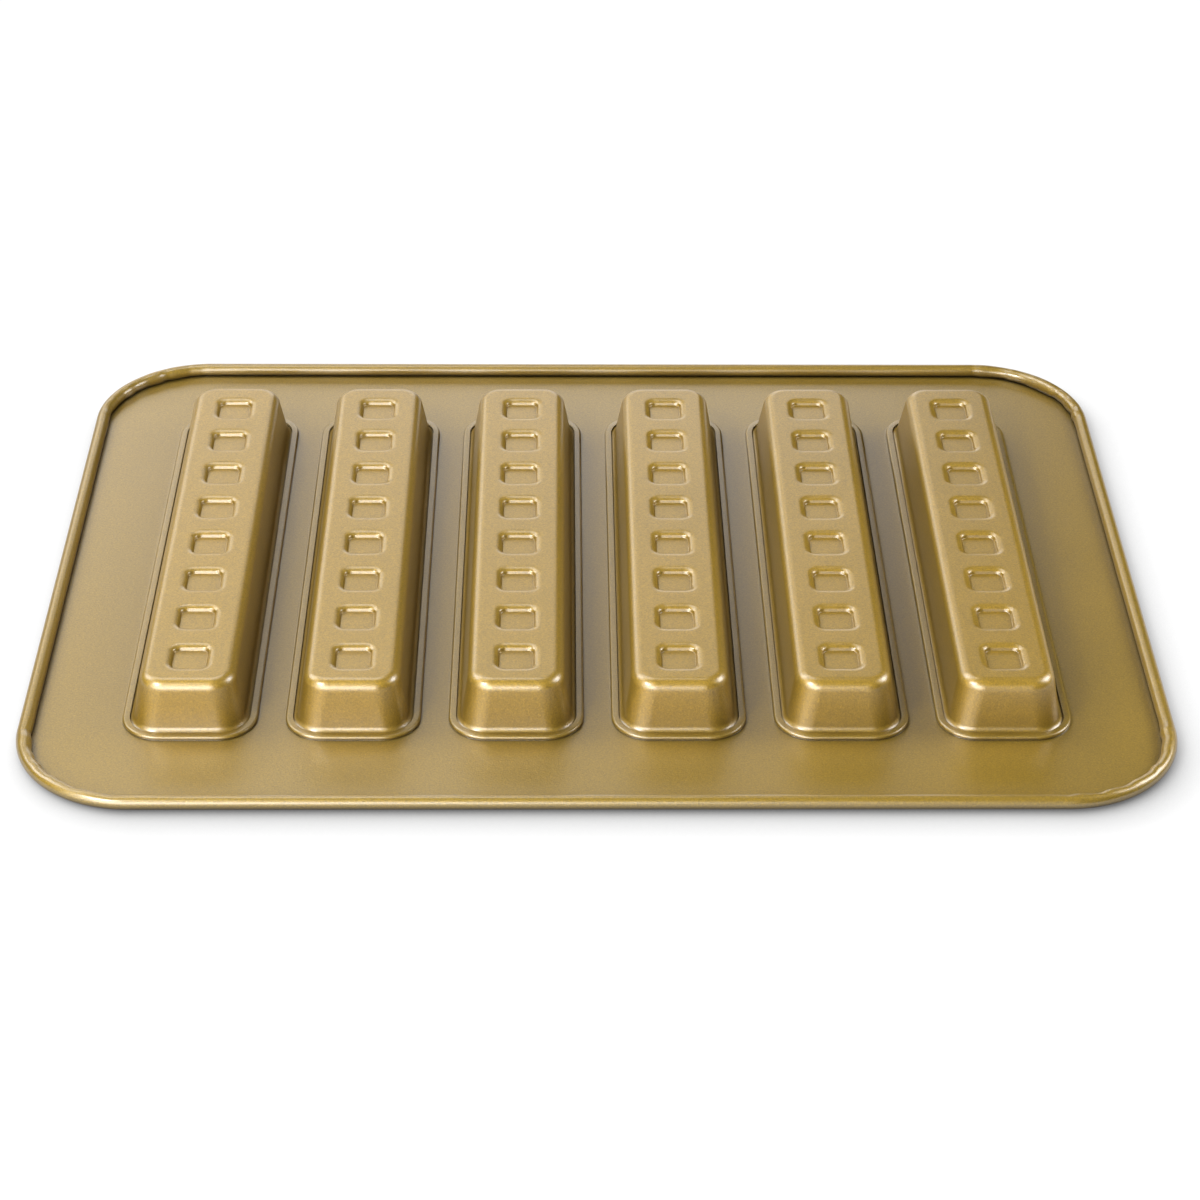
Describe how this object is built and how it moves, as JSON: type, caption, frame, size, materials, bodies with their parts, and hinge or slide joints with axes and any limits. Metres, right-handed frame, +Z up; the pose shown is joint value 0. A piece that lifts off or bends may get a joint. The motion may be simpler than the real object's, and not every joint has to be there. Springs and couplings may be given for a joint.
{
  "type": "waffle stick pan",
  "caption": "Flat baking pan with a row of long waffle-floored cups crimped into a deck sheet whose edge is rolled over a wire, lying upside down.",
  "frame": {"origin": "under the middle of the deck, on the plane of its food face, which the upturned pan lies on", "axes": "+X along the row of cups, +Y along the cups, +Z up through the cup floors"},
  "size_m": [0.4, 0.298, 0.02],
  "materials": {
    "coated_steel_deck": "satin gold non-stick coating on pressed steel sheet",
    "coated_steel_cup": "satin gold non-stick coating on drawn steel sheet",
    "steel_wire": "bare drawn wire, hidden in the rim"
  },
  "bodies": {
    "root": {"deck_sheet": "coated_steel_deck", "rim_wire": "steel_wire", "cup_1": "coated_steel_cup", "cup_2": "coated_steel_cup", "cup_3": "coated_steel_cup", "cup_4": "coated_steel_cup", "cup_5": "coated_steel_cup", "cup_6": "coated_steel_cup"}
  },
  "joints": []
}
